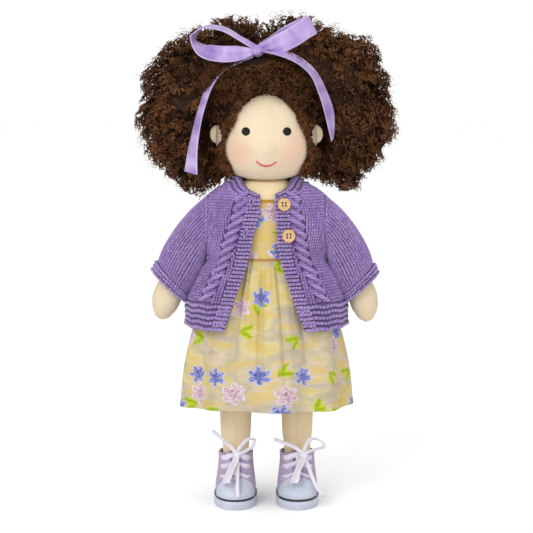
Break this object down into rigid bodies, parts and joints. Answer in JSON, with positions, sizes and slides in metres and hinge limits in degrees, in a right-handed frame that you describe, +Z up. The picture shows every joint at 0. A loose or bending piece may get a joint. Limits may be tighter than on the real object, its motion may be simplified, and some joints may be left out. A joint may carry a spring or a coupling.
{
  "type": "cloth doll",
  "caption": "Standing stuffed cloth doll with a curly wig and ribbon bow, knitted cardigan over a gathered dress, laced canvas shoes, swinging arms and legs.",
  "frame": {"origin": "on the ground under the middle of the doll's bounding box", "axes": "+Z up, the doll faces -Y, and its own left hand is towards +X"},
  "size_m": [0.2002, 0.0956, 0.3806],
  "materials": {
    "skin": "matte stretched cotton knit",
    "eye_thread": "embroidery thread",
    "mouth_thread": "embroidery thread",
    "neck_thread": "strong cotton thread",
    "hair": "curly mohair, soft sheen",
    "ribbon": "woven satin",
    "dress_print": "printed cotton",
    "knit": "soft wool knit",
    "button_wood": "satin, bare beech",
    "sole_rubber": "satin moulded rubber",
    "stripe_rubber": "satin",
    "shoe_canvas": "matte canvas",
    "lace": "flat woven cotton",
    "eyelet_brass": "worn satin"
  },
  "bodies": {
    "torso": {"torso": "skin", "head": "skin", "neck_thread": "neck_thread", "left_eye": "eye_thread", "right_eye": "eye_thread", "mouth": "mouth_thread", "left_ear": "skin", "right_ear": "skin", "hair_cap": "hair", "hair_left": "hair", "hair_right": "hair", "ribbon_band": "ribbon", "ribbon_knot": "ribbon", "ribbon_loop_left": "ribbon", "ribbon_loop_right": "ribbon", "ribbon_tail_left": "ribbon", "ribbon_tail_right": "ribbon", "dress_bodice": "dress_print", "dress_skirt": "dress_print", "cardigan_back": "knit", "cardigan_left_front": "knit", "cardigan_right_front": "knit", "button_upper": "button_wood", "button_upper_thread": "knit", "button_lower": "button_wood", "button_lower_thread": "knit"},
    "left_arm": {"left_arm": "skin", "cardigan_left_sleeve": "knit"},
    "right_arm": {"right_arm": "skin", "cardigan_right_sleeve": "knit"},
    "left_leg": {"left_leg": "skin", "left_sole": "sole_rubber", "left_sole_stripe": "stripe_rubber", "left_toe_cap": "sole_rubber", "left_shoe_upper": "shoe_canvas", "left_tongue": "shoe_canvas", "left_lace": "lace", "left_lace_bow": "lace", "left_eyelet_inner_1": "eyelet_brass", "left_eyelet_outer_1": "eyelet_brass", "left_eyelet_inner_2": "eyelet_brass", "left_eyelet_outer_2": "eyelet_brass", "left_eyelet_inner_3": "eyelet_brass", "left_eyelet_outer_3": "eyelet_brass"},
    "right_leg": {"right_leg": "skin", "right_sole": "sole_rubber", "right_sole_stripe": "stripe_rubber", "right_toe_cap": "sole_rubber", "right_shoe_upper": "shoe_canvas", "right_tongue": "shoe_canvas", "right_lace": "lace", "right_lace_bow": "lace", "right_eyelet_inner_1": "eyelet_brass", "right_eyelet_outer_1": "eyelet_brass", "right_eyelet_inner_2": "eyelet_brass", "right_eyelet_outer_2": "eyelet_brass", "right_eyelet_inner_3": "eyelet_brass", "right_eyelet_outer_3": "eyelet_brass"}
  },
  "joints": [
    {"name": "left_shoulder", "type": "hinge", "parent": "torso", "child": "left_arm", "pos_m": [0.042, 0.00081, 0.222], "axis": [-1, 0, 0], "range_deg": [-20, 95]},
    {"name": "right_shoulder", "type": "hinge", "parent": "torso", "child": "right_arm", "pos_m": [-0.042, 0.00081, 0.222], "axis": [-1, 0, 0], "range_deg": [-20, 95]},
    {"name": "left_hip", "type": "hinge", "parent": "torso", "child": "left_leg", "pos_m": [0.024, 0.00081, 0.142], "axis": [-1, 0, 0], "range_deg": [-10, 90], "deforming": ["dress_skirt", "cardigan_left_front", "cardigan_right_front"]},
    {"name": "right_hip", "type": "hinge", "parent": "torso", "child": "right_leg", "pos_m": [-0.024, 0.00081, 0.142], "axis": [-1, 0, 0], "range_deg": [-10, 90]}
  ],
  "couplings": [
    {"joint": "right_hip", "follows": "left_hip", "ratio": 1}
  ]
}
